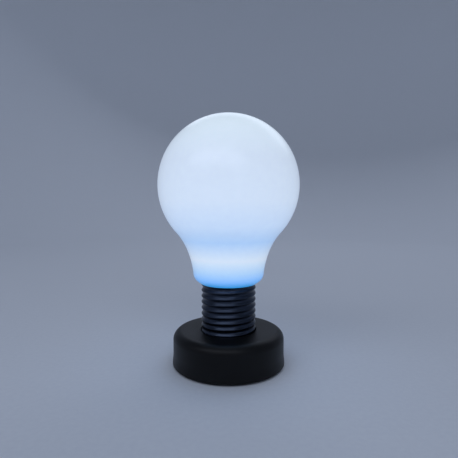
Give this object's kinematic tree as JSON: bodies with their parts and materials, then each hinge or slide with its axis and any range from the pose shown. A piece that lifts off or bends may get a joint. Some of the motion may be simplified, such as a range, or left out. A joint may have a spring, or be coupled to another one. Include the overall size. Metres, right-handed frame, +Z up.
{
  "type": "bulb-shaped smart lamp",
  "caption": "Battery table lamp shaped like a light bulb: a glowing milky globe on a threaded neck in a round black base, switched by pressing the bulb.",
  "frame": {"origin": "on the bulb's axis, in the plane that the feet stand on", "axes": "+Z up along the bulb's axis, -Y to the front, +Y to the mode switch, +X to the right seen from the front"},
  "size_m": [0.095, 0.095, 0.17],
  "materials": {
    "opal_polycarbonate": "milky opal, satin, lit from inside",
    "cast_aluminium": "dark satin",
    "black_abs": "satin moulded",
    "white_nylon": "moulded",
    "foot_rubber": "matt moulded",
    "plain_steel": "pressed",
    "zinc_plated_steel": "zinc plated",
    "spring_steel": "drawn wire",
    "nickel_plated_steel": "nickel plated",
    "nickel_silver": "tinned",
    "green_circuit_board": "solder mask",
    "white_metal_core_board": "white solder mask",
    "black_epoxy": "moulded epoxy",
    "led_phosphor": "silicone over phosphor",
    "cell_jacket": "shrink sleeve",
    "red_insulation": "extruded",
    "black_insulation": "extruded"
  },
  "bodies": {
    "base": {"base_shell": "black_abs", "base_plate": "black_abs", "plate_screw_1": "zinc_plated_steel", "plate_screw_2": "zinc_plated_steel", "plate_screw_3": "zinc_plated_steel", "plate_screw_4": "zinc_plated_steel", "ballast_left": "plain_steel", "ballast_right": "plain_steel", "foot_1": "foot_rubber", "foot_2": "foot_rubber", "foot_3": "foot_rubber", "foot_4": "foot_rubber", "battery_1": "cell_jacket", "battery_2": "cell_jacket", "battery_3": "cell_jacket", "contact_plate_1": "nickel_plated_steel", "contact_plate_2": "nickel_plated_steel", "contact_plate_3": "nickel_plated_steel", "contact_spring_1": "nickel_plated_steel", "contact_spring_2": "nickel_plated_steel", "contact_spring_3": "nickel_plated_steel", "base_board": "green_circuit_board", "push_switch": "black_epoxy", "mode_switch": "black_epoxy", "return_spring": "spring_steel", "supply_lead_red": "red_insulation", "supply_lead_black": "black_insulation"},
    "head": {"diffuser": "opal_polycarbonate", "thread_sleeve": "cast_aluminium", "sleeve_floor": "white_nylon", "floor_screw_1": "zinc_plated_steel", "floor_screw_2": "zinc_plated_steel", "floor_screw_3": "zinc_plated_steel", "led_board": "white_metal_core_board", "board_screw_1": "zinc_plated_steel", "board_screw_2": "zinc_plated_steel", "led_white_1": "led_phosphor", "led_colour_1": "led_phosphor", "led_white_2": "led_phosphor", "led_colour_2": "led_phosphor", "led_white_3": "led_phosphor", "led_colour_3": "led_phosphor", "led_white_4": "led_phosphor", "led_colour_4": "led_phosphor", "reflector": "white_nylon", "control_board": "green_circuit_board", "radio_module": "green_circuit_board", "radio_shield": "nickel_silver", "driver_chip": "black_epoxy", "boost_inductor": "black_epoxy", "smoothing_capacitor": "black_epoxy", "lead_socket": "white_nylon"},
    "plunger": {"switch_plunger": "white_nylon"},
    "door": {"battery_door": "black_abs"},
    "knob": {"mode_knob": "black_abs"}
  },
  "joints": [
    {"name": "head_press", "type": "slide", "parent": "base", "child": "head", "axis": [0, 0, -1], "range_m": [0, 0.002], "stiffness_N_per_m": 1000, "springref_m": -0.0025, "deforming": ["return_spring", "supply_lead_red", "supply_lead_black"]},
    {"name": "plunger_press", "type": "slide", "parent": "base", "child": "plunger", "axis": [0, 0, -1], "range_m": [0, 0.002]},
    {"name": "door_swing", "type": "hinge", "parent": "base", "child": "door", "pos_m": [0, -0.02475, 0.001], "axis": [-1, 0, 0], "range_deg": [0, 70]},
    {"name": "knob_slide", "type": "slide", "parent": "base", "child": "knob", "axis": [-1, 0, 0], "range_m": [0, 0.004]}
  ],
  "couplings": [
    {"joint": "plunger_press", "follows": "head_press", "ratio": 1}
  ]
}
